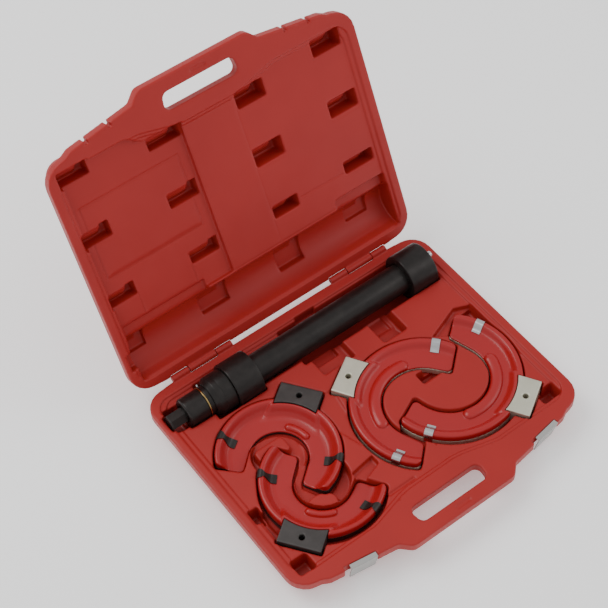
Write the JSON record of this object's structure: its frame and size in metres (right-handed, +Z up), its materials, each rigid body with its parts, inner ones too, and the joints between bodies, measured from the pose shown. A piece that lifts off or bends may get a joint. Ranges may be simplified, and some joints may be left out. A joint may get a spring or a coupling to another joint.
{
  "type": "coil spring compressor",
  "caption": "Screw-driven coil spring compressor tool with padded yoke plates, stored in an open hinged blow-moulded carrying case.",
  "frame": {"origin": "middle of the case's flat underside", "axes": "+X to the right along the lid's hinge, +Y back towards the hinge, +Z up out of the open tray"},
  "size_m": [0.5, 0.6069, 0.4279],
  "materials": {
    "case_red": "blow-moulded polyethylene, fine grain, satin",
    "liner_red": "dipped or moulded vinyl, soft gloss",
    "black_steel": "blackened forged steel, oiled",
    "zinc_steel": "dull zinc plate, slightly warm",
    "bright_steel": "bright steel",
    "latch_grey": "moulded plastic, satin",
    "brass": "machined brass"
  },
  "bodies": {
    "case": {"case_base": "case_red", "hinge_pin_left": "bright_steel", "hinge_pin_right": "bright_steel"},
    "lid": {"case_lid": "case_red"},
    "latch_l": {"latch_left": "latch_grey"},
    "latch_r": {"latch_right": "latch_grey"},
    "tool": {"main_tube": "black_steel", "bearing_cap": "black_steel", "brass_ring": "brass", "head_set_screw": "bright_steel", "head_sleeve": "black_steel", "head_collar": "black_steel", "thrust_washer_front": "bright_steel", "thrust_bearing_cage": "brass", "end_plug": "black_steel"},
    "spindle": {"drive_spindle": "black_steel", "thrust_washer_rear": "bright_steel"},
    "carriage": {"carriage_collar": "black_steel", "spindle_nut": "brass", "guide_key": "black_steel", "carriage_lock_screw": "bright_steel"},
    "small_yoke_rear": {"small_yoke_rear_plate": "black_steel", "small_yoke_rear_block": "black_steel", "small_yoke_rear_liner": "liner_red", "small_yoke_rear_clip_a": "black_steel", "small_yoke_rear_clip_b": "black_steel"},
    "small_yoke_front": {"small_yoke_front_plate": "black_steel", "small_yoke_front_block": "black_steel", "small_yoke_front_liner": "liner_red", "small_yoke_front_clip_a": "black_steel", "small_yoke_front_clip_b": "black_steel"},
    "large_yoke_left": {"large_yoke_left_plate": "zinc_steel", "large_yoke_left_block": "zinc_steel", "large_yoke_left_liner": "liner_red", "large_yoke_left_clip_a": "bright_steel", "large_yoke_left_clip_b": "bright_steel"},
    "large_yoke_right": {"large_yoke_right_plate": "zinc_steel", "large_yoke_right_block": "zinc_steel", "large_yoke_right_liner": "liner_red", "large_yoke_right_clip_a": "bright_steel", "large_yoke_right_clip_b": "bright_steel"}
  },
  "joints": [
    {"name": "lid_hinge", "type": "hinge", "parent": "case", "child": "lid", "pos_m": [0, 0.21, 0.046], "axis": [-1, 0, 0], "range_deg": [-113.94, 0]},
    {"name": "latch_left_slide", "type": "slide", "parent": "case", "child": "latch_l", "axis": [0.028, 0.1887, -0.9816], "range_m": [-0.0192, 0]},
    {"name": "latch_right_slide", "type": "slide", "parent": "case", "child": "latch_r", "axis": [-0.028, 0.1887, -0.9816], "range_m": [-0.0192, 0]},
    {"name": "tool_lift", "type": "slide", "parent": "case", "child": "tool", "axis": [0, 0, 1], "range_m": [0, 0.12]},
    {"name": "spindle_spin", "type": "hinge", "parent": "tool", "child": "spindle", "pos_m": [0, 0.151, 0.046], "axis": [1, 0, 0], "range_deg": [0, 17820]},
    {"name": "carriage_slide", "type": "slide", "parent": "tool", "child": "carriage", "axis": [-1, 0, 0], "range_m": [0, 0.1981]},
    {"name": "small_yoke_rear_lift", "type": "slide", "parent": "case", "child": "small_yoke_rear", "axis": [0, 0, 1], "range_m": [0, 0.12]},
    {"name": "small_yoke_front_lift", "type": "slide", "parent": "case", "child": "small_yoke_front", "axis": [0, 0, 1], "range_m": [0, 0.12]},
    {"name": "large_yoke_left_lift", "type": "slide", "parent": "case", "child": "large_yoke_left", "axis": [0, 0, 1], "range_m": [0, 0.12]},
    {"name": "large_yoke_right_lift", "type": "slide", "parent": "case", "child": "large_yoke_right", "axis": [0, 0, 1], "range_m": [0, 0.12]}
  ],
  "couplings": [
    {"joint": "carriage_slide", "follows": "spindle_spin", "m_per_rad": 0.00063662}
  ]
}
